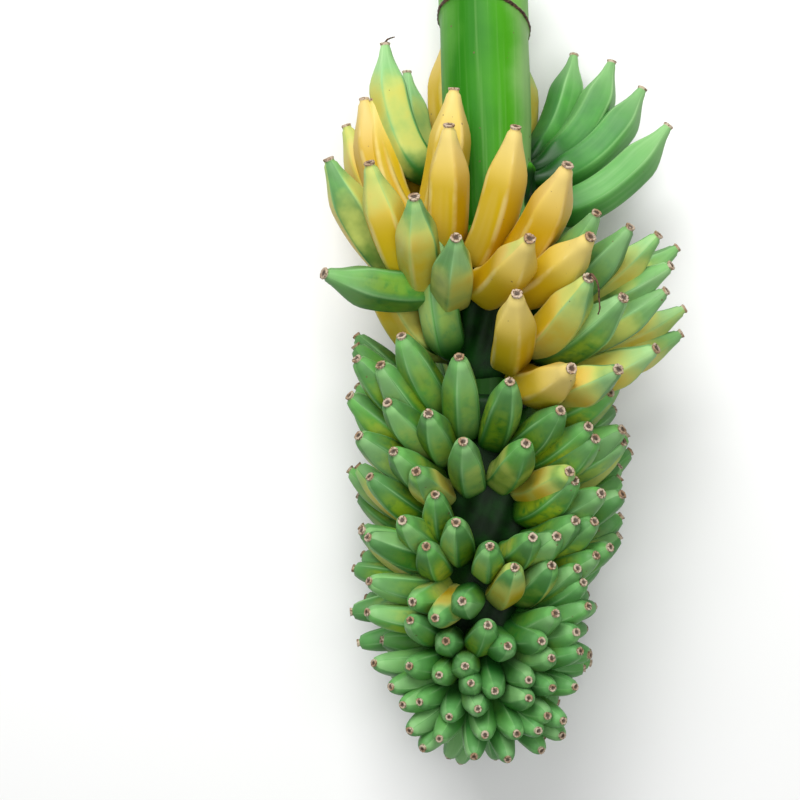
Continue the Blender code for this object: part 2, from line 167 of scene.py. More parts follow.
def stalk_surface():
    """Rings round the stalk's middle line.

    The radius is the stalk's own, plus shallow flutes that drift round it, plus a half-sine rim where a ring
    lies within the scar's width of the leaning scar. More rings shrink inward to close the cut end.
    """
    rows = np.concatenate((np.linspace(STALK_ROWS[0], -20, 30), np.linspace(-19, 60, 150),
                           np.linspace(62, STALK_ROWS[1], 120)))
    row, turn = np.meshgrid(rows, np.arange(STALK_SIDES) * math.tau / STALK_SIDES, indexing="ij")
    flutes = 0.10 * MM * np.sin(9 * turn + 0.004 * row) + 0.06 * MM * np.sin(23 * turn - 0.006 * row)
    swell = 0.5 * MM * np.sin(2 * turn + 0.7) * np.cos(row / 60)
    rim_row = SCAR_ROW - SCAR_LEAN[0] * np.cos(turn) + SCAR_LEAN[1] * np.sin(turn)
    ragged = 1 + 0.18 * np.sin(5 * turn) * np.sin(11 * turn) + 0.10 * np.sin(47 * turn)
    reach = (row - rim_row) * PIXEL / (SCAR_WIDTH * ragged)
    rim = np.cos(np.clip(reach, -1, 1) * math.pi / 2)
    radius = stalk_radius(row) - 0.5 * MM + flutes + swell + SCAR_HEIGHT * rim * ragged
    radius -= 0.8 * MM * smooth((row - rim_row) / 8) * (1 - smooth((row - rim_row) / 60))
    above = smooth((rim_row - row) / 8 + 0.5)
    grid = np.stack((stalk_x(row) + radius * np.sin(turn), along(row), LIFT + radius * np.cos(turn)), axis=-1)
    middle = np.array((stalk_x(rows[0]), along(rows[0]), LIFT))
    shares = np.array((0.04, 0.3, 0.6, 0.9, 0.97))[:, None, None]
    ends = middle + (grid[0] - middle) * shares
    ends[..., 1] = middle[1] + 0.3 * MM * (1 - shares[..., 0])
    grid[0, :, 1] -= 0.3 * MM
    grid = np.concatenate((ends, grid))
    extra = ((len(shares), 0), (0, 0))
    all_turns = np.pad(turn, extra, mode="edge")
    values = {
        "cut": np.pad(np.zeros_like(radius), extra, constant_values=1),
        "rim": np.pad(rim, extra),
        "young": np.pad(above, extra, mode="edge"),
        "skin_place": np.stack((np.sin(all_turns), np.cos(all_turns), grid[..., 1] * 10), axis=-1)}
    return grid[None, :, ::-1], {key: value[None, :, ::-1] for key, value in values.items()}


class Nodes:
    """Adds shader nodes to a tree and joins them."""

    def __init__(self, tree):
        self.tree = tree

    def put(self, slot, value):
        """Give a socket a number, a colour, or the output of another node."""
        if isinstance(value, bpy.types.NodeSocket):
            self.tree.links.new(value, slot)
        elif slot.type == "RGBA" and len(value) == 3:
            slot.default_value = (*value, 1)
        else:
            slot.default_value = value

    def add(self, kind, values=(), **settings):
        node = self.tree.nodes.new(kind)
        for key, value in settings.items():
            setattr(node, key, value)
        for socket, value in dict(values).items():
            self.put(node.inputs[socket], value)
        return node

    def math(self, operation, a, b=0.0, c=0.0):
        node = self.add("ShaderNodeMath", operation=operation)
        for slot, value in zip(node.inputs, (a, b, c)):
            self.put(slot, value)
        return node.outputs[0]

    def mix(self, share, a, b):
        """Colour a turning to colour b as share goes from 0 to 1."""
        node = self.add("ShaderNodeMix", {0: share, 6: a, 7: b}, data_type="RGBA")
        return node.outputs[2]

    def ramp(self, value, low, high):
        """0 below low and 1 above high, smooth between them."""
        node = self.add("ShaderNodeMapRange", {"Value": value, "From Min": low, "From Max": high},
                        interpolation_type="SMOOTHSTEP")
        return node.outputs["Result"]

    def kept(self, name, output="Fac"):
        """A value that the mesh keeps at its points."""
        return self.add("ShaderNodeAttribute", attribute_name=name).outputs[output]

    def noise(self, place, scale, detail):
        node = self.add("ShaderNodeTexNoise", {"Vector": place, "Scale": scale, "Detail": detail})
        return node.outputs["Fac"]


def effect_group(name, inputs, outputs):
    """The nodes of a new shader group with named inputs and outputs, then its input and its output node."""
    tree = bpy.data.node_groups.new(name, "ShaderNodeTree")
    for label, kind, value in inputs:
        socket = tree.interface.new_socket(label, in_out="INPUT", socket_type=kind)
        if value is not None:
            socket.default_value = value
    for label in outputs:
        tree.interface.new_socket(label, in_out="OUTPUT", socket_type="NodeSocketFloat")
    nodes = Nodes(tree)
    return nodes, nodes.add("NodeGroupInput"), nodes.add("NodeGroupOutput")


def strings_group():
    """Fine strings along a plant skin: noise on the skin's own place, squeezed along its length."""
    nodes, start, end = effect_group(
        "strings along the skin",
        (("Place", "NodeSocketVector", None), ("Fineness", "NodeSocketFloat", 6.0),
         ("Length", "NodeSocketFloat", 0.3)),
        ("Strings", "Broad"))
    squeeze = nodes.add("ShaderNodeCombineXYZ", {
        "X": start.outputs["Fineness"], "Y": start.outputs["Fineness"], "Z": start.outputs["Length"]})
    place = nodes.add("ShaderNodeVectorMath", {0: start.outputs["Place"], 1: squeeze.outputs[0]},
                      operation="MULTIPLY").outputs[0]
    nodes.put(end.inputs["Strings"], nodes.noise(place, 1.0, 5.0))
    nodes.put(end.inputs["Broad"], nodes.noise(place, 0.3, 2.0))
    return nodes.tree


def specks_group():
    """Small dark specks and short scratches: middles of some cells of a Voronoi pattern, and thin noise."""
    nodes, start, end = effect_group(
        "specks and scratches",
        (("Size", "NodeSocketFloat", 420.0), ("Amount", "NodeSocketFloat", 0.3)),
        ("Specks", "Scratches"))
    place = nodes.add("ShaderNodeTexCoord").outputs["Object"]
    bent = nodes.add("ShaderNodeTexNoise", {"Vector": place, "Scale": 300.0}).outputs["Color"]
    bent = nodes.add("ShaderNodeVectorMath", {0: bent, "Scale": 0.002}, operation="SCALE").outputs[0]
    moved = nodes.add("ShaderNodeVectorMath", {0: place, 1: bent}, operation="ADD").outputs[0]
    cells = nodes.add("ShaderNodeTexVoronoi", {"Vector": moved, "Scale": start.outputs["Size"]})
    chosen = nodes.add("ShaderNodeSeparateColor", {"Color": cells.outputs["Color"]})
    wide = nodes.math("MULTIPLY", chosen.outputs["Green"], 0.28)
    dot = nodes.math("LESS_THAN", cells.outputs["Distance"], wide)
    rare = nodes.math("LESS_THAN", chosen.outputs["Red"], start.outputs["Amount"])
    nodes.put(end.inputs["Specks"], nodes.math("MULTIPLY", dot, rare))
    thin = nodes.add("ShaderNodeVectorMath", {0: moved, 1: (700.0, 110.0, 250.0)}, operation="MULTIPLY")
    nodes.put(end.inputs["Scratches"], nodes.ramp(nodes.noise(thin.outputs[0], 1.0, 2.0), 0.72, 0.78))
    return nodes.tree


STRINGS = strings_group()
SPECKS = specks_group()


def plain_material(name, roughness):
    """A material with its nodes and its Principled shader, whose roughness is set."""
    material = bpy.data.materials.new(name)
    material.use_nodes = True
    shader = material.node_tree.nodes["Principled BSDF"]
    shader.inputs["Roughness"].default_value = roughness
    shader.inputs["Specular IOR Level"].default_value = SHINE
    return material, Nodes(material.node_tree), shader


def stalk_material():
    material, nodes, shader = plain_material("green stalk skin", 0.5)
    strings = nodes.add("ShaderNodeGroup", node_tree=STRINGS)
    nodes.put(strings.inputs["Place"], nodes.kept("skin_place", "Vector"))
    strings.inputs["Fineness"].default_value = 7.0
    strings.inputs["Length"].default_value = 0.35
    specks = nodes.add("ShaderNodeGroup", {"Size": 200.0, "Amount": 0.05}, node_tree=SPECKS)
    object_place = nodes.add("ShaderNodeTexCoord").outputs["Object"]
    clouds = nodes.noise(object_place, 14.0, 4.0)
    # Painted light and shade: the stalk is painted darker on its left side and paler on its right, where a
    # whitish painted highlight lies, and its far left edge is lighter with painted rim light.
    side = nodes.add("ShaderNodeSeparateXYZ", {"Vector": nodes.kept("skin_place", "Vector")}).outputs["X"]
    side_light = nodes.math("ADD", side, nodes.math("MULTIPLY_ADD", clouds, 0.9, -0.45))
    green = nodes.mix(nodes.ramp(side_light, -0.45, 0.5), STALK_SIDE_SHADE, STALK_GREEN)
    green = nodes.mix(nodes.math("MULTIPLY", nodes.ramp(side_light, 0.35, 1.0), 0.75), green, STALK_HIGHLIGHT_AND_STRINGS)
    edge = nodes.math("MULTIPLY", nodes.ramp(nodes.math("MULTIPLY", side_light, -1.0), 0.55, 1.0), 0.5)
    green = nodes.mix(edge, green, STALK_YOUNG_AND_RIM_LIGHT)
    green = nodes.mix(nodes.math("MULTIPLY", nodes.ramp(strings.outputs["Broad"], 0.45, 0.75), 0.35), green,
                      STALK_GREEN)
    green = nodes.mix(nodes.math("MULTIPLY", nodes.ramp(strings.outputs["Strings"], 0.50, 0.75), 0.22), green,
                      STALK_HIGHLIGHT_AND_STRINGS)
    green = nodes.mix(nodes.math("MULTIPLY", nodes.kept("young"), 0.75), green, STALK_YOUNG_AND_RIM_LIGHT)
    height_along = nodes.add("ShaderNodeSeparateXYZ", {"Vector": object_place}).outputs["Y"]
    shaded = nodes.math("SUBTRACT", 1.0, nodes.ramp(height_along, *SHADED_BELOW))
    green = nodes.mix(nodes.math("MULTIPLY", shaded, 0.85), green, STALK_SHADED)
    green = nodes.mix(nodes.math("MULTIPLY", specks.outputs["Specks"], 0.7), green, DRY_BROWN)
    rim = nodes.ramp(nodes.kept("rim"), 0.10, 0.55)
    ragged = nodes.noise(object_place, 420.0, 3.0)
    green = nodes.mix(rim, green, nodes.mix(nodes.ramp(ragged, 0.35, 0.7), DRY_DARK, DRY_BROWN))
    pores = nodes.add("ShaderNodeTexVoronoi", {"Vector": object_place, "Scale": 330.0}).outputs["Distance"]
    flesh = nodes.mix(nodes.ramp(pores, 0.15, 0.55), CUT_PORES, STALK_CUT)
    flesh = nodes.mix(nodes.ramp(clouds, 0.50, 0.72), flesh, CUT_STAIN)
    colour = nodes.mix(nodes.ramp(nodes.kept("cut"), 0.45, 0.55), green, flesh)
    nodes.put(shader.inputs["Base Color"], colour)
    nodes.put(shader.inputs["Roughness"], nodes.math("MULTIPLY_ADD", strings.outputs["Strings"], 0.35, 0.32))
    height = nodes.math("ADD", strings.outputs["Strings"], nodes.math("MULTIPLY", ragged, rim))
    bump = nodes.add("ShaderNodeBump", {"Height": height, "Strength": 0.35, "Distance": 0.0006})
    nodes.put(shader.inputs["Normal"], bump.outputs[0])
    return material


stalk_grid, stalk_values = stalk_surface()
stalk = skin_mesh("stalk_skin", [(inside(stalk_grid), stalk_values)])
stalk.data.materials.append(stalk_material())
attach(stalk, "root")
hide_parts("stalk")


# The top hand
# The first fruits below the cut, spread behind the stalk and still green. Every fruit is a soft pulp in a
# leathery five-sided skin with a waxy bloom. A short neck joins it to the stalk, and its tip is a dry button.
EYE_HEIGHT = 1.40
SEED = 7
# How far an unseen fruit may reach to the side of the stalk's middle, in mm by the row of its root.
SIDE_REACH = ((200, 140), (300, 145), (360, 124), (560, 118), (600, 112), (640, 90), (656, 80), (670, 66),
              (690, 44))
# How far it may reach below the stalk's middle, in the same way.
LOWEST_TIP = ((200, 105.5), (240, 102.5), (300, 105), (400, 111), (560, 113), (700, 114))
FIRST_HANGING_ROW = 600
UNSEEN_SPAN = {2: (math.radians(130), math.radians(262)), 3: (math.radians(95), math.radians(205))}
BACK_SPAN = (math.radians(99), math.radians(261))
LEAST_SPREAD = 0.05
BEARING_DRAW = 0.05
RISE_DRAW = 10 * MM
RIPE_DRAW = 0.2
LEAST_WIDTH = 0.93
TURN_DRAW = math.radians(20)
LEAST_REACH = 0.3
SETTLING_ROUNDS = 12
NECK_DEPTH = 4 * MM
LONG_BEND = (math.radians(42), math.radians(22))
SHORT_BEND = (math.radians(26), math.radians(14))
FIRST_SHORT_HAND = 4
HANDLE = 0.36
SEEN_GRID = (26, 40)
UNSEEN_GRID = (16, 30)
BUTTON_STOPS = (0.975, 0.983, 0.990, 0.996, 1.0, 1.0, 0.996, 0.992)
BUTTON_SHARES = (1.0, 0.93, 0.98, 1.05, 1.0, 0.72, 0.38, 0.06)
DRY_LENGTH = 2.4 * MM
# Painted shade, darkening the fruits' necks and the crowns deep in the bunch.
NECK_SHADE = (0.003, 0.042, 0.002)
DEEP_GREEN = (0.008, 0.110, 0.005)
MID_GREEN = (0.045, 0.285, 0.008)
BELLY_GREEN = (0.330, 0.440, 0.004)
BLUE_GREEN = (0.030, 0.240, 0.040)
# Pale waxy bloom, which also paints the sheen of the light and the ridge highlights.
WAXY_BLOOM_AND_SHEEN = (0.340, 0.580, 0.260)
TURNING_CREAM = (0.500, 0.540, 0.130)
RIPE_YELLOW = (0.530, 0.325, 0.002)
RIPE_LIGHT = (0.600, 0.420, 0.010)
# Cream of the ripe skin, which near the ridges and tip is partly painted highlight.
RIPE_CREAM_AND_HIGHLIGHT = (0.780, 0.690, 0.360)
RIPE_ORANGE = (0.640, 0.310, 0.002)


def surface_of(root, aside=0.0):
    """How far in front of the stalk's middle its surface lies, so far aside, and 0 beside the stalk."""
    return math.sqrt(max(stalk_radius(root) ** 2 - aside ** 2, 0))


def reach_of(length, rise, surface):
    """How far out from its root a tip stands, by its fruit's length and rise and the stalk's surface."""
    return surface + math.sqrt(max(length ** 2 - rise ** 2, (LEAST_REACH * length) ** 2))


def seen_fruit(tip, length):
    """Bearing round the stalk, reach and rise of a fruit whose tip shows at a place of the photo.

    The reach follows from the fruit's length and its rise, the bearing from how far aside the tip shows, and
    both are worked out again for the tip's own distance from the eye until they settle.
    """
    column, row, root, ripe, side, *crown = tip
    root_x = sideways(crown[0]) if crown else float(stalk_x(root))
    surface = surface_of(root, root_x - float(stalk_x(root)))
    height = 0.0
    for _ in range(SETTLING_ROUNDS):
        scale = PIXEL * (EYE_HEIGHT - height) / EYE_HEIGHT
        aside = (column - PHOTO_MIDDLE) * scale - MIDDLE[0] - root_x
        rise = (PHOTO_MIDDLE - row) * scale - MIDDLE[1] - along(root)
        reach = max(reach_of(length, rise, surface), abs(aside))
        bearing = math.asin(aside / reach)
        if side < 0:
            bearing = math.pi - bearing
        height = (height + reach * math.cos(bearing)) / 2
    return {"bearing": bearing, "reach": reach, "rise": rise, "ripe": ripe, "root": root,
            "root_x": root_x, "surface": surface, "seen": True}


def unseen_fruits(hand, seen, root, length, count, draw, looks):
    """Fruits spread evenly over the back of the stalk.

    One that would meet the floor or stand out at the side is turned up along the stalk, or is shortened in
    the hanging hands.
    """
    bearings = [fruit["bearing"] % math.tau for fruit in seen]
    first = max([b for b in bearings if b <= math.pi], default=math.pi / 2)
    last = min([b for b in bearings if b > math.pi], default=1.5 * math.pi)
    if len(seen) < 3:
        first, last = BACK_SPAN
    first, last = UNSEEN_SPAN.get(hand, (first, last))
    surface = surface_of(root)
    usual_rise = float(np.mean([fruit["rise"] for fruit in seen]))
    usual_ripe = float(np.mean([fruit["ripe"] for fruit in seen]))
    fruits = []
    for i in range(count):
        bearing = first + (last - first) * (i + 1) / (count + 1) + draw.uniform(-BEARING_DRAW, BEARING_DRAW)
        rise = usual_rise + draw.uniform(-RISE_DRAW, RISE_DRAW)
        reach = reach_of(length, rise, surface)
        room = between(root, LOWEST_TIP) * MM / max(-math.cos(bearing), LEAST_SPREAD)
        room = min(room, between(root, SIDE_REACH) * MM / max(abs(math.sin(bearing)), LEAST_SPREAD))
        if reach > room:
            reach = room
            if root < FIRST_HANGING_ROW:
                rise = math.sqrt(max(length ** 2 - (reach - surface) ** 2, 0))
        ripe = min(1, max(0, usual_ripe + looks.uniform(-RIPE_DRAW, RIPE_DRAW)))
        fruits.append({"bearing": bearing, "reach": reach, "rise": rise, "ripe": ripe, "root": root,
                       "root_x": float(stalk_x(root)), "surface": surface, "seen": False})
    return fruits


def fruits_of(hand, rows):
    """Every fruit of a hand, with its width, bends, turn about its own middle line, and chance looks."""
    draw = np.random.default_rng(SEED + hand)
    looks = np.random.default_rng(100 * SEED + hand)
    fruits = []
    for root, length, width, tips, unseen in rows:
        row = [seen_fruit(tip, length * MM) for tip in tips]
        row += unseen_fruits(hand, row, root, length * MM, unseen, draw, looks)
        for fruit in row:
            fruit["neck_bend"], fruit["tip_bend"] = LONG_BEND if hand < FIRST_SHORT_HAND else SHORT_BEND
            fruit["width"] = width * MM * draw.uniform(LEAST_WIDTH, 1.0)
            fruit["turn"] = draw.uniform(-TURN_DRAW, TURN_DRAW)
            fruit["chance"] = looks.uniform()
            fruit["glow"] = looks.uniform(0.3, 1.5)
            fruit["facets"] = looks.uniform(0, 1, 5)
        fruits += row
    return fruits


def fruit_share(t, blunt):
    """Half-width along a fruit as a share of its widest.

    A thin neck swells over the first third. The end is a mix of a bottle's shoulder and neck and a dome.
    """
    neck = 0.36 + 0.64 * smooth((t - 0.04) / 0.26)
    bottle = 1 - 0.77 * smooth((t - 0.73) / 0.24)
    dome = np.sqrt(1 - 0.94 * np.clip((t - 0.50) / 0.50, 0, 1) ** 2.2)
    return neck * (bottle + (dome - bottle) * blunt)


def five_sided(turn, sharpness):
    """Reach of a rounded five-sided section at a turn, 1 at its ridges.

    It is the power mean of the distances to the five sides, and a greater power makes the ridges sharper.
    """
    side = (np.arange(5) + 0.5) * math.tau / 5
    lean = np.clip(np.cos(turn[..., None] - side), 1e-6, 1)
    total = (lean ** sharpness[..., None]).sum(axis=-1)
    return total ** (-1 / sharpness) * math.cos(math.pi / 5) * 2 ** (1 / sharpness)


def fruit_tubes(fruits, blunt, looks, rings, sides):
    """Skins of like fruits, all at once.

    Each is a five-sided section carried along a cubic curve that leaves the stalk and bends up to the tip.
    The section's ridges are strongest at the middle and fade to a round neck and a round tip. Past the tip
    the rings turn in to a small dish, the dry button.
    """
    t = np.concatenate((np.linspace(0.01, 0.965, rings), BUTTON_STOPS))
    shares = fruit_share(t, blunt)
    shares[rings:] = fruit_share(1.0, blunt) * np.array(BUTTON_SHARES)
    of = {key: np.array([fruit[key] for fruit in fruits], float) for key in
          ("bearing", "reach", "rise", "root", "root_x", "surface", "width", "turn", "neck_bend", "tip_bend",
           "ripe", "chance", "glow", "facets")}
    out = np.stack((np.sin(of["bearing"]), 0 * of["bearing"], np.cos(of["bearing"])), axis=-1)
    across = np.stack((out[:, 2], 0 * of["bearing"], -out[:, 0]), axis=-1)
    up = np.array((0, 1.0, 0))
    root = np.stack((of["root_x"], along(of["root"]), LIFT + 0 * of["bearing"]), axis=-1)
    start = root + out * (of["surface"] - NECK_DEPTH)[:, None]
    end = root + out * of["reach"][:, None] + up * of["rise"][:, None]
    length = np.linalg.norm(end - start, axis=1, keepdims=True)
    chord = (end - start) / length
    bow = up * (chord * out).sum(axis=1, keepdims=True) - out * chord[:, 1:2]
    neck, tip = of["neck_bend"][:, None], of["tip_bend"][:, None]
    leave = start + (chord * np.cos(neck) - bow * np.sin(neck)) * length * HANDLE
    arrive = end - (chord * np.cos(tip) + bow * np.sin(tip)) * length * HANDLE
    s = t[:, None]
    a, b, c, d = (v[:, None] for v in (start, leave, arrive, end))
    middle = (1 - s) ** 3 * a + 3 * (1 - s) ** 2 * s * b + 3 * (1 - s) * s ** 2 * c + s ** 3 * d
    way = (1 - s) ** 2 * (b - a) + 2 * (1 - s) * s * (c - b) + s ** 2 * (d - c)
    way /= np.linalg.norm(way, axis=2, keepdims=True)
    outward = np.cross(np.broadcast_to(across[:, None], way.shape), way)
    even = np.arange(sides) * math.tau / sides
    turn = even - 0.10 * np.sin(5 * even)
    body = smooth((t - 0.08) / 0.3) * (1 - smooth((t - 0.78) / 0.17))
    sharpness = 2.5 + looks["angular"] * body
    section = five_sided(turn[None, :], np.broadcast_to(sharpness[:, None], (len(t), sides)))
    wander = 0.012 * np.sin(3 * turn + 6 * s + 40 * of["chance"][:, None, None]) * body[:, None]
    lobes = np.floor(2 + 4 * of["chance"])[:, None, None]
    ragged = 0.05 * np.sin(lobes * turn + 30 * of["chance"][:, None, None]) + 0.05 * np.sin(9 * turn)
    ragged = ragged * (np.arange(len(t)) >= rings + 2)[:, None]
    section = section - 0.012 * body[:, None] + wander + ragged
    radius = shares[:, None] * of["width"][:, None, None] / 2 * section
    angle = turn + of["turn"][:, None]
    rim = (outward[:, :, None] * np.cos(angle)[:, None, :, None]
           + across[:, None, None] * np.sin(angle)[:, None, :, None])
    grid = inside(middle[:, :, None] + rim * radius[..., None])
    facet = np.floor(even * 5 / math.tau + 1e-6).astype(int) % 5
    near_ridge = np.exp(-((((even * 5 / math.tau + 0.5) % 1) - 0.5) / 0.10) ** 2)
    to_tip = (1 - t) * length
    flat = np.ones(radius.shape)
    values = {key: of[key][:, None, None] * flat for key in ("ripe", "chance")}
    values["warm"] = of["glow"][:, None, None] * looks["warm"] * flat
    values["cool"] = looks["cool"] * flat
    values["waxy"] = looks["waxy"] * flat
    values["face_middle"] = (0.5 - 0.5 * np.cos(5 * even)) * flat
    values["facet"] = of["facets"][:, facet][:, None] * flat
    values["length_share"] = t[:, None] * flat
    values["ridge"] = near_ridge * body[:, None] * flat
    values["dry"] = np.clip(1.5 - to_tip / DRY_LENGTH, 0, 1)[..., None] * flat
    values["button"] = (np.arange(len(t)) >= len(t) - 2)[:, None] * flat
    values["skin_place"] = np.stack(np.broadcast_arrays(
        np.cos(turn) + 3 * of["chance"][:, None, None], np.sin(turn) * flat,
        s * length[:, :, None] * 10 + 7 * of["chance"][:, None, None]), axis=-1)
    return grid, values


def banana_skin():
    """Skin from unripe green to ripe yellow by each fruit's own ripeness.

    The belly of a fruit turns first, its neck, tip and ridges last, and some of its faces before the others.
    Waxy bloom pales the skin towards the tip and in streaks, and it also paints the sheen of the light;
    each ridge shows as a light line of painted highlight. The neck is darkened with painted shade, and the
    cream near the ridges and tip of a ripe skin is partly painted highlight.
    """
    material, nodes, shader = plain_material("banana skin", 0.45)
    strings = nodes.add("ShaderNodeGroup", node_tree=STRINGS)
    nodes.put(strings.inputs["Place"], nodes.kept("skin_place", "Vector"))
    strings.inputs["Fineness"].default_value = 3.0
    strings.inputs["Length"].default_value = 1.6
    specks = nodes.add("ShaderNodeGroup", {"Size": 260.0, "Amount": 0.02}, node_tree=SPECKS)
    object_place = nodes.add("ShaderNodeTexCoord").outputs["Object"]
    clouds = nodes.noise(object_place, 38.0, 3.0)
    patches = nodes.noise(object_place, 120.0, 4.0)
    t, ridge, ripe, chance = (nodes.kept(name) for name in ("length_share", "ridge", "ripe", "chance"))
    facet, warm, cool, waxy = (nodes.kept(name) for name in ("facet", "warm", "cool", "waxy"))
    dry, middle = nodes.kept("dry"), nodes.kept("face_middle")
    toward_tip = nodes.ramp(t, 0.62, 0.98)
    chance_of_face = nodes.math("FRACT", nodes.math("MULTIPLY", facet, 7.0))
    off_neck = nodes.ramp(t, 0.12, 0.50)
    before_tip = nodes.math("SUBTRACT", 1.0, nodes.ramp(t, 0.70, 0.93))
    belly = nodes.math("MULTIPLY", nodes.ramp(t, 0.22, 0.48), before_tip)

    depth = nodes.math("ADD", clouds, nodes.math("MULTIPLY_ADD", facet, 0.5, -0.25))
    green = nodes.mix(nodes.ramp(depth, 0.25, 0.75), DEEP_GREEN, MID_GREEN)
    blueness = nodes.math("MULTIPLY", cool, nodes.math("MULTIPLY_ADD", chance, 0.5, 0.5))
    green = nodes.mix(blueness, green, BLUE_GREEN)
    warmth = nodes.math("MULTIPLY", nodes.math("MULTIPLY", belly, warm), nodes.ramp(patches, 0.2, 0.6))
    warmth = nodes.math("MULTIPLY", warmth, nodes.ramp(middle, 0.05, 0.8))
    warmth = nodes.math("MULTIPLY", warmth, nodes.math("MULTIPLY_ADD", facet, 1.3, 0.5))
    green = nodes.mix(warmth, green, BELLY_GREEN)
    # Waxy bloom, which also paints the sheen of the light: pale streaks, a paler tip and paler random faces.
    bloom_and_sheen = nodes.math("MULTIPLY_ADD", nodes.ramp(strings.outputs["Strings"], 0.35, 0.8), 0.25, 0.25)
    waxy_face = nodes.math("MULTIPLY", waxy, nodes.math("MULTIPLY_ADD", facet, 1.2, 0.3))
    bloom_and_sheen = nodes.math("MULTIPLY", bloom_and_sheen, waxy_face)
    bloom_and_sheen = nodes.math("MULTIPLY_ADD", toward_tip, nodes.math("MULTIPLY_ADD", waxy, 0.45, 0.12), bloom_and_sheen)
    # Painted highlight: a light line along each ridge.
    ridge_highlight = nodes.math("MULTIPLY_ADD", nodes.ramp(t, 0.30, 0.85), 0.28, 0.06)
    edge = nodes.math("MULTIPLY", ridge, ridge_highlight)
    face = nodes.math("MULTIPLY", nodes.ramp(chance_of_face, 0.55, 0.90), 0.28)
    bloom_and_sheen = nodes.math("MULTIPLY", nodes.math("ADD", nodes.math("ADD", bloom_and_sheen, edge), face), off_neck)
    green = nodes.mix(bloom_and_sheen, green, WAXY_BLOOM_AND_SHEEN)
    # Painted shade: the skin darkens to near black towards the neck, deep in the bunch.
    green = nodes.mix(nodes.math("SUBTRACT", 1.0, nodes.ramp(t, 0.08, 0.50)), green, NECK_SHADE)

    yellow = nodes.mix(nodes.ramp(facet, 0.1, 0.9), RIPE_YELLOW, RIPE_LIGHT)
    yellow = nodes.mix(nodes.math("MULTIPLY", nodes.ramp(chance, 0.6, 1.0), 0.35), yellow, RIPE_ORANGE)
    # Cream near the ridges and towards the tip is partly the ripe skin's own and partly painted highlight;
    # the broad streaks are the skin's own.
    pale = nodes.math("SUBTRACT", 1.0, nodes.ramp(middle, 0.0, 0.45))
    cloudy = nodes.math("MULTIPLY_ADD", nodes.ramp(clouds, 0.35, 0.65), 0.38, 0.08)
    pale = nodes.math("MULTIPLY", pale, cloudy)
    pale = nodes.math("MAXIMUM", pale, nodes.math("MULTIPLY", toward_tip, 0.45))
    streaks = nodes.math("MULTIPLY", nodes.ramp(strings.outputs["Broad"], 0.5, 0.8), 0.2)
    pale = nodes.math("MAXIMUM", pale, streaks)
    yellow = nodes.mix(pale, yellow, RIPE_CREAM_AND_HIGHLIGHT)

    near_neck = nodes.math("SUBTRACT", 1.0, nodes.ramp(t, 0.10, 0.42))
    late = nodes.math("MAXIMUM", nodes.ramp(t, 0.72, 0.95), near_neck)
    turned = nodes.math("MULTIPLY", ripe, 1.7)
    turned = nodes.math("SUBTRACT", turned, nodes.math("MULTIPLY", late, 0.45))
    turned = nodes.math("SUBTRACT", turned, nodes.math("MULTIPLY", ridge, 0.20))
    turned = nodes.math("ADD", turned, nodes.math("MULTIPLY_ADD", facet, 0.5, -0.25))
    turned = nodes.math("ADD", turned, nodes.math("MULTIPLY_ADD", clouds, 0.6, -0.3))
    skin = nodes.mix(nodes.ramp(turned, 0.30, 0.75), green, TURNING_CREAM)
    skin = nodes.mix(nodes.ramp(turned, 0.60, 1.05), skin, yellow)

    skin = nodes.mix(nodes.math("MULTIPLY", specks.outputs["Specks"], 0.7), skin, DRY_BROWN)
    skin = nodes.mix(nodes.math("MULTIPLY", specks.outputs["Scratches"], 0.18), skin, DRY_BROWN)
    crust = nodes.mix(nodes.ramp(patches, 0.40, 0.55), DRY_TAN, DRY_PALE)
    crust = nodes.mix(nodes.ramp(nodes.noise(object_place, 520.0, 2.0), 0.52, 0.62), crust, DRY_BROWN)
    dried = nodes.ramp(nodes.math("ADD", dry, nodes.math("MULTIPLY_ADD", patches, 0.6, -0.3)), 0.45, 0.75)
    skin = nodes.mix(nodes.math("MULTIPLY", dried, 0.95), skin, crust)
    skin = nodes.mix(nodes.math("MULTIPLY", nodes.kept("button"), 0.85), skin, DRY_DARK)
    nodes.put(shader.inputs["Base Color"], skin)
    rough = nodes.math("MULTIPLY_ADD", bloom_and_sheen, 0.25, 0.40)
    nodes.put(shader.inputs["Roughness"], nodes.math("ADD", rough, nodes.math("MULTIPLY", dried, 0.3)))
    height = nodes.math("ADD", strings.outputs["Strings"], nodes.math("MULTIPLY", patches, 0.8))
    bump = nodes.add("ShaderNodeBump", {"Height": height, "Strength": 0.15, "Distance": 0.0006})
    nodes.put(shader.inputs["Normal"], bump.outputs[0])
    return material


BANANA_SKIN = banana_skin()


def grow_hand(hand, node, blunt, looks, rows):
    """One hand of fruits, whose ends are like a bottle's neck at a blunt of 0 and round at 1.

    The looks are how warm the bellies are, how cool the green is, how waxy the skins are, which also sets
    how much sheen is painted with the bloom, and how angular the fruits are. Each row is its root row, fruit
    length, fruit width, tips and number of unseen fruits. A tip is its column, its row, the row of its root,
    how ripe it is, 1 for the front of the stalk or -1 for behind it, and the column of its root if that is
    beside the stalk's middle. The unseen fruits have fewer faces.
    """
    fruits = fruits_of(hand, rows)
    looks = dict(zip(("warm", "cool", "waxy", "angular"), looks))
    tubes = [fruit_tubes([fruit for fruit in fruits if fruit["seen"]], blunt, looks, *SEEN_GRID)]
    unseen = [fruit for fruit in fruits if not fruit["seen"]]
    if unseen:
        tubes.append(fruit_tubes(unseen, blunt, looks, *UNSEEN_GRID))
    piece = skin_mesh(f"hand_{hand:02d}_fruits", tubes)
    piece.data.materials.append(BANANA_SKIN)
    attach(piece, "root")
    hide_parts(node)


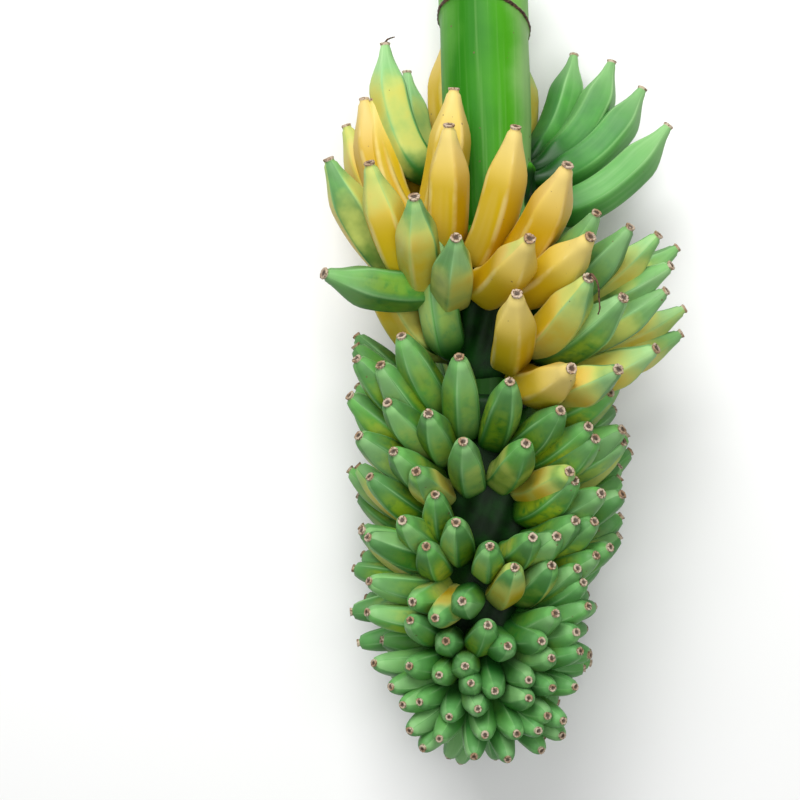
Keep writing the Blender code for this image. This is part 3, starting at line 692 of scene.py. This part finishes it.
grow_hand(1, "hand_top", 0.15, (0.0, 0.5, 0.65, 7), (
    (180, 138, 38, ((643, 88, 178, 0, -1), (612, 61, 168, 0, -1), (574, 54, 165, 0, -1),
                    (447, 36, 190, 1, -1), (407, 71, 200, 0.2, -1), (385, 43, 190, 0.24, -1)), 2),
    (206, 142, 40, ((669, 125, 210, 0, 1), (402, 103, 206, 0, -1)), 3),
))


# The ripening hands
# Two hands below the top one, nearly ripe, with the longest and fattest fruits. The crown of the first
# spreads to the left of the stalk, and most fruits of the second point right. Their skins turn from green
# through cream to yellow.
grow_hand(2, "hands_ripe", 0.35, (0.5, 0.1, 0.45, 8), (
    (250, 152, 40, ((346, 125, 250, 0.65, -1), (364, 98, 256, 1, -1, 446), (374, 99, 258, 0.8, 1, 442),
                    (454, 88, 250, 1, 1, 420)), 4),
    (270, 152, 41, ((328, 158, 282, 0.44, 1, 435), (369, 162, 286, 0.5, 1, 432), (449, 124, 264, 1, 1, 443),
                    (516, 126, 264, 1, 1, 460), (568, 164, 266, 1, 1, 480)), 4),
    (284, 142, 41, ((323, 273, 262, 0.1, 1), (414, 196, 284, 0.45, 1, 428), (456, 237, 286, 0.4, 1, 448),
                    (530, 238, 276, 0.8, 1, 466), (591, 236, 278, 0.85, 1, 484)), 2),
))
grow_hand(3, "hands_ripe", 0.4, (0.6, 0.1, 0.5, 8), (
    (305, 140, 35, ((597, 212, 290, 0.05, 1), (631, 226, 304, 0.3, 1), (659, 234, 300, 0.4, 1),
                    (678, 247, 290, 0.3, -1)), 4),
    (335, 138, 36, ((672, 265, 290, 0.3, 1), (667, 290, 336, 0.35, 1), (685, 308, 336, 0.4, -1),
                    (682, 333, 355, 0.4, -1)), 4),
    (350, 138, 40, ((517, 293, 350, 1, 1, 506), (589, 277, 334, 0.47, 1, 505), (624, 297, 338, 0.25, 1, 505),
                    (657, 348, 360, 0.35, 1), (619, 369, 366, 0.5, 1, 505), (572, 368, 362, 0.9, 1, 500)), 1),
    (362, 122, 40, ((374, 246, 358, 0.5, 1, 450), (408, 226, 360, 0.05, 1, 450),
                    (434, 232, 360, 0.12, 1, 458)), 0),
))


# The middle hands
# Three hands of full-grown green fruits all round the stalk. They have the same leathery skin, and many
# have a yellowish belly, where ripening begins.
grow_hand(4, "hands_middle", 0.75, (0.6, 0.1, 0.2, 7), (
    (406, 120, 34, ((356, 335, 410, 0, -1), (401, 335, 412, 0.1, 1, 466), (611, 392, 414, 0, 1)), 3),
    (430, 120, 36, ((356, 358, 428, 0.1, 1, 470), (380, 364, 434, 0, 1, 460), (459, 356, 436, 0.1, 1, 466),
                    (510, 381, 438, 0.1, 1, 484), (561, 410, 442, 0.15, 1), (614, 409, 434, 0, -1)), 4),
    (448, 118, 36, ((349, 395, 450, 0.1, 1, 455), (387, 402, 444, 0.1, 1, 450), (428, 413, 448, 0, 1, 452),
                    (589, 426, 456, 0, 1, 500), (596, 438, 470, 0, 1, 505), (623, 429, 460, 0.1, 1)), 4),
))
grow_hand(5, "hands_middle", 0.8, (0.8, 0.1, 0.18, 6), (
    (480, 114, 35, ((358, 435, 474, 0.1, 1, 452), (393, 451, 478, 0.1, 1, 448), (463, 441, 478, 0.25, 1, 474),
                    (526, 443, 472, 0.3, 1, 488), (624, 441, 468, 0, 1), (631, 451, 492, 0.2, -1)), 4),
    (498, 112, 35, ((349, 469, 520, 0, -1), (416, 471, 488, 0.45, 1, 450), (570, 471, 480, 0.5, 1, 502),
                    (575, 480, 506, 0.1, 1, 500), (602, 493, 506, 0.1, 1, 505)), 4),
))
grow_hand(6, "hands_middle", 0.85, (0.65, 0.2, 0.18, 5), (
    (528, 108, 33, ((369, 476, 520, 0.1, 1, 456), (435, 494, 536, 0.2, 1, 446), (576, 520, 538, 0.15, 1, 505),
                    (623, 494, 520, 0.1, 1, 505)), 5),
    (540, 108, 33, ((361, 530, 546, 0, 1), (367, 537, 546, 0.1, 1), (402, 520, 538, 0, 1, 446),
                    (456, 522, 545, 0.05, 1, 460), (533, 537, 545, 0.15, 1, 497), (557, 536, 545, 0, 1, 502),
                    (595, 521, 543, 0, 1, 505)), 4),
))


# The lower hands
# Five hands of younger, smaller fruits, set close. They point out level, then hang, and close the end of the
# bunch. The last row of the second hand and of the third is a guess that fills a gap at their right side.
grow_hand(7, "hands_lower", 0.9, (0.6, 0.35, 0.18, 5), (
    (564, 104, 31, ((353, 568, 570, 0, -1), (426, 546, 562, 0.1, 1, 442), (490, 546, 558, 0.1, 1, 485),
                    (597, 555, 566, 0.1, 1, 505), (611, 547, 562, 0.2, 1, 505)), 5),
    (578, 102, 31, ((368, 581, 576, 0, 1), (412, 602, 566, 0.2, 1, 456), (515, 567, 586, 0.5, 1, 493),
                    (552, 565, 586, 0.35, 1, 502), (578, 568, 586, 0.2, 1, 505)), 5),
))
grow_hand(8, "hands_lower", 1, (0.35, 0.6, 0.2, 3), (
    (586, 102, 30, ((350, 612, 572, 0, -1), (462, 601, 580, 0, 1, 474), (584, 582, 592, 0, 1, 508),
                    (587, 594, 594, 0, -1)), 5),
    (602, 102, 29, ((366, 612, 602, 0, 1), (435, 618, 576, 0.35, 1, 466), (488, 625, 630, 0, 1, 472),
                    (556, 613, 614, 0, 1, 503), (589, 606, 606, 0, 1), (595, 606, 604, 0, -1)), 5),
    (598, 84, 29, ((599, 560, 600, 0, 1), (598, 552, 594, 0, -1)), 0),
))
grow_hand(9, "hands_lower", 1, (0.2, 0.7, 0.22, 2.5), (
    (612, 98, 28, ((357, 643, 600, 0.3, 1), (410, 620, 622, 0, 1, 442), (446, 641, 622, 0, 1, 454),
                   (508, 646, 620, 0, 1, 486), (542, 641, 612, 0, 1, 500), (577, 632, 616, 0, 1, 506),
                   (586, 628, 614, 0, -1)), 5),
    (630, 98, 27, ((373, 663, 642, 0, 1, 458), (409, 666, 642, 0, 1, 450), (439, 675, 644, 0, 1, 456),
                   (465, 666, 640, 0, 1, 466), (552, 658, 630, 0, 1, 502), (581, 651, 634, 0, 1),
                   (590, 652, 634, 0, -1)), 5),
    (620, 80, 27, ((591, 655, 618, 0, 1), (592, 664, 622, 0, -1)), 0),
))
grow_hand(10, "hands_lower", 1, (0.1, 0.8, 0.22, 2.5), (
    (642, 94, 26, ((390, 687, 648, 0, 1, 462), (471, 683, 658, 0, 1, 472), (495, 691, 644, 0, 1, 486),
                   (529, 680, 640, 0, 1, 500), (553, 688, 644, 0, 1, 501), (576, 687, 648, 0, 1)), 5),
    (656, 94, 26, ((402, 705, 662, 0, 1, 464), (419, 702, 664, 0, 1, 456), (449, 717, 666, 0, 1, 460),
                   (478, 709, 662, 0, 1, 472), (529, 698, 668, 0, 1, 494), (548, 716, 670, 0, 1, 498),
                   (564, 721, 670, 0, 1, 498)), 5),
))
grow_hand(11, "hands_lower", 1, (0.05, 0.8, 0.22, 2.5), (
    (670, 90, 26, ((409, 731, 672, 0, 1, 467), (439, 739, 676, 0, 1, 466), (485, 735, 674, 0, 1, 479),
                   (517, 734, 674, 0, 1, 490), (539, 731, 676, 0, 1, 494), (563, 736, 670, 0, 1, 496)), 4),
    (682, 86, 26, ((422, 749, 672, 0, 1, 472), (474, 757, 678, 0, 1, 477), (508, 760, 678, 0, 1, 488),
                   (542, 751, 674, 0, 1, 493)), 4),
    (676, 84, 26, ((448, 757, 676, 0, -1), (496, 758, 676, 0, -1)), 2),
))


# The dried flower remains
# Two withered threads of flower, 1.8 mm thick at the button they grow from and half as thick at the end. One
# stands off a fruit of the top hand, one hangs over a fruit of the second ripening hand. Both are dry.
THREAD_RADIUS = 0.9 * MM
THREAD_GRID = (60, 16)
TOP_THREAD = ((0, 0, 0), (2, 3, 1), (5, 4, 2), (9, 5, 2))
RIPE_THREAD = ((0, 0, 0), (1, 3, 3), (5, -2, 6), (7, -9, 8), (7, -18, 8), (8, -26, 7), (6, -31, 6))


def thread_surface(tip, length, path):
    """Rings along straight steps from a fruit's tip, rounded by a running mean.

    The radius falls in a straight line to half, and a high power of a sine adds knots.
    """
    fruit = seen_fruit(tip, length * MM)
    out = np.array((math.sin(fruit["bearing"]), 0, math.cos(fruit["bearing"])))
    foot = np.array((fruit["root_x"], along(fruit["root"]) + fruit["rise"], LIFT)) + out * fruit["reach"]
    rings, sides = THREAD_GRID
    share = np.linspace(0, 1, rings)
    path = np.array(path) * MM
    steps = np.linspace(0, 1, len(path))
    line = [np.interp(share, steps, path[:, i]) for i in range(3)]
    line = [np.convolve(np.pad(run, 4, mode="edge"), np.full(9, 1 / 9), "valid") for run in line]
    line = np.stack(line, axis=-1)
    way = np.gradient(line, axis=0)
    way /= np.linalg.norm(way, axis=1, keepdims=True)
    side = np.cross(way, (0.1, 0.2, 1.0))
    side /= np.linalg.norm(side, axis=1, keepdims=True)
    over = np.cross(side, way)
    turn = np.arange(sides) * math.tau / sides
    knots = 1 - 0.5 * share + 0.25 * np.sin(share * 21) ** 8
    radius = THREAD_RADIUS * knots[:, None] * (1 + 0.15 * np.sin(3 * turn + 5 * share[:, None]))
    rim = side[:, None] * np.cos(turn)[:, None] + over[:, None] * np.sin(turn)[:, None]
    return inside(foot + line[:, None] + rim * radius[..., None])[None], {}


def thread_material():
    material, nodes, shader = plain_material("withered flower", 0.85)
    place = nodes.add("ShaderNodeTexCoord").outputs["Object"]
    clouds = nodes.noise(place, 400.0, 3.0)
    nodes.put(shader.inputs["Base Color"], nodes.mix(nodes.ramp(clouds, 0.35, 0.65), DRY_DARK, DRY_BROWN))
    bump = nodes.add("ShaderNodeBump", {"Height": clouds, "Strength": 0.4, "Distance": 0.0005})
    nodes.put(shader.inputs["Normal"], bump.outputs[0])
    return material


WITHERED = thread_material()
for node, slot, tip, length, path in (
        ("hand_top", "green_skin", (385, 43, 190, 0, -1), 138, TOP_THREAD),
        ("hands_ripe", "ripening_skin", (589, 277, 334, 0, 1, 505), 138, RIPE_THREAD)):
    thread = skin_mesh(f"{node}_thread", [thread_surface(tip, length, path)])
    thread.data.materials.append(WITHERED)
    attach(thread, "root")
    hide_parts(node)


# The crowns
# Where the necks of a hand grow together round the stalk: hard green tissue, ribbed where one neck runs into
# the next.
# Its near-black colour is painted shade, as light as the stalk towards the ends of the upper crowns. It shows
# between the fruits.
CROWN_GRID = (40, 96)
# Painted shade: the near-black of the crowns, where they show between the fruits.
CROWN_SHADE = (0.002, 0.012, 0.002)
# Each crown's first and last row, its thickness, and how far it stands aside and to the front, in mm.
CROWNS = {
    "hand_top": ((162, 216, 7, 0, -9),),
    "hands_ripe": ((230, 298, 13, -14, 4), (292, 382, 10, 0, -5)),
    "hands_middle": ((394, 440, 18, 0, -2), (430, 552, 26, 0, 0)),
    "hands_lower": ((550, 640, 26, 0, 0), (634, 702, 20, 0, 0)),
}


def crown_surface(first, last, thickness, aside, front):
    """Rings round the stalk, swollen by the crown's thickness and ribs.

    Both ends round off by the root of 1 less the eighth power of the share from the middle.
    """
    rings, sides = CROWN_GRID
    turns = np.arange(sides) * math.tau / sides
    row, turn = np.meshgrid(np.linspace(first, last, rings), turns, indexing="ij")
    share = 2 * (row - first) / (last - first) - 1
    rounding = np.sqrt(np.clip(1 - share ** 8, 0.0, 1))
    ribs = 1.2 * MM * np.abs(np.sin(7 * turn + 0.02 * row)) + 0.8 * MM * np.sin(13 * turn + row * 0.11)
    radius = stalk_radius(row) - 2 * MM + (thickness * MM - 1 * MM + ribs) * rounding
    grid = np.stack((stalk_x(row) + aside * MM + radius * np.sin(turn), along(row),
                     LIFT + front * MM + radius * np.cos(turn)), axis=-1)
    return inside(grid)[None, :, ::-1], {"edge": (share ** 4)[None, :, ::-1]}


def crown_material():
    material, nodes, shader = plain_material("crown tissue", 0.6)
    place = nodes.add("ShaderNodeTexCoord").outputs["Object"]
    clouds = nodes.noise(place, 45.0, 5.0)
    green = nodes.mix(nodes.ramp(clouds, 0.35, 0.7), CROWN_SHADE, NECK_SHADE)
    lit = nodes.ramp(nodes.add("ShaderNodeSeparateXYZ", {"Vector": place}).outputs["Y"], *SHADED_BELOW)
    ends = nodes.math("MULTIPLY", nodes.ramp(nodes.kept("edge"), 0.02, 0.6), lit)
    nodes.put(shader.inputs["Base Color"], nodes.mix(ends, green, STALK_GREEN))
    bump = nodes.add("ShaderNodeBump", {"Height": clouds, "Strength": 0.4, "Distance": 0.002})
    nodes.put(shader.inputs["Normal"], bump.outputs[0])
    return material


CROWN_TISSUE = crown_material()
for node, slot in (("hand_top", "green_skin"), ("hands_ripe", "ripening_skin"),
                   ("hands_middle", "mid_green_skin"), ("hands_lower", "deep_green_skin")):
    crown = skin_mesh(f"{node}_crown", [crown_surface(*sizes) for sizes in CROWNS[node]])
    crown.data.materials.append(CROWN_TISSUE)
    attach(crown, "root")
    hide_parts(node)


# The floor, the light and the camera
# The bunch lies on its back on a pale matt floor, under a broad soft light from beyond its cut end, a weaker
# one from above and a faint even sky. The eye looks straight down.
FLOOR_WIDTH = 12
FLOOR_COLOUR = (0.88, 0.88, 0.87)
SKY_COLOUR = (0.95, 0.97, 1.0)
SKY_STRENGTH = 0.18
LENS = 70
SENSOR_WIDTH = 36


def add_floor():
    bpy.ops.mesh.primitive_plane_add(size=FLOOR_WIDTH)
    floor = bpy.context.object
    floor.name = "floor"
    material, _, shader = plain_material("pale floor", 0.9)
    shader.inputs["Base Color"].default_value = (*FLOOR_COLOUR, 1)
    floor.data.materials.append(material)


def add_light(name, place, aim, size, power):
    """A square lamp at a place, turned to shine on its aim."""
    lamp = bpy.data.lights.new(name, "AREA")
    lamp.shape = "SQUARE"
    lamp.size = size
    lamp.energy = power
    holder = bpy.data.objects.new(name, lamp)
    holder.location = place
    way = np.array(aim, float) - np.array(place, float)
    holder.rotation_euler = (math.atan2(math.hypot(way[0], way[1]), -way[2]), 0,
                             math.atan2(way[0], -way[1]) + math.pi)
    bpy.context.scene.collection.objects.link(holder)


add_floor()
add_light("sky", (-0.5, 1.5, 1.9), (0, 0, 0.1), 1.4, 62)
add_light("front", (0.3, -0.3, 2.4), (0, 0, 0.1), 1.8, 30)
world = bpy.data.worlds.new("studio")
world.use_nodes = True
world.node_tree.nodes["Background"].inputs["Color"].default_value = (*SKY_COLOUR, 1)
world.node_tree.nodes["Background"].inputs["Strength"].default_value = SKY_STRENGTH
bpy.context.scene.world = world
bpy.context.scene.view_settings.view_transform = "Standard"

lens = bpy.data.cameras.new("eye")
lens.lens = LENS
lens.sensor_width = SENSOR_WIDTH
camera = bpy.data.objects.new("eye", lens)
camera.location = (-MIDDLE[0], -MIDDLE[1], LIFT + EYE_HEIGHT)
bpy.context.scene.collection.objects.link(camera)
bpy.context.scene.camera = camera
